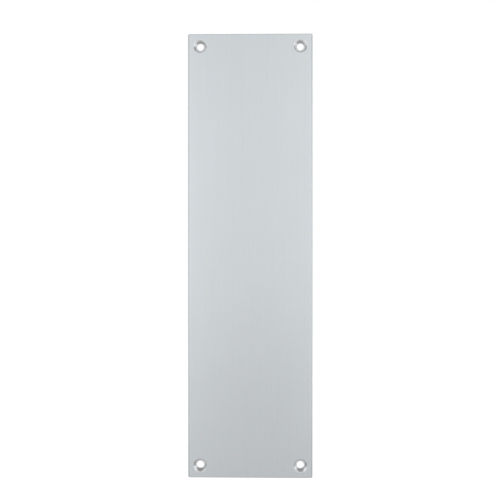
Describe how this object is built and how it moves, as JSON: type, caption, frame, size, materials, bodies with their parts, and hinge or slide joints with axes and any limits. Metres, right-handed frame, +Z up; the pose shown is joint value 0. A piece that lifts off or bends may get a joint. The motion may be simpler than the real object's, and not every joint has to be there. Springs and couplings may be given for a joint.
{
  "type": "door finger plate",
  "caption": "Flat rectangular aluminium plate with eased edges and countersunk screw holes near its corners, fixed to a door where hands push it to keep marks off the surface.",
  "frame": {"origin": "centre of the back face, which lies on the door", "axes": "+X to the right seen from the front, +Y out of the back face into the door, +Z up along the length; the front looks along -Y"},
  "size_m": [0.076, 0.003, 0.27],
  "materials": {
    "satin_aluminium": "satin anodised, with bright machined countersinks"
  },
  "bodies": {
    "root": {"finger_plate": "satin_aluminium"}
  },
  "joints": []
}
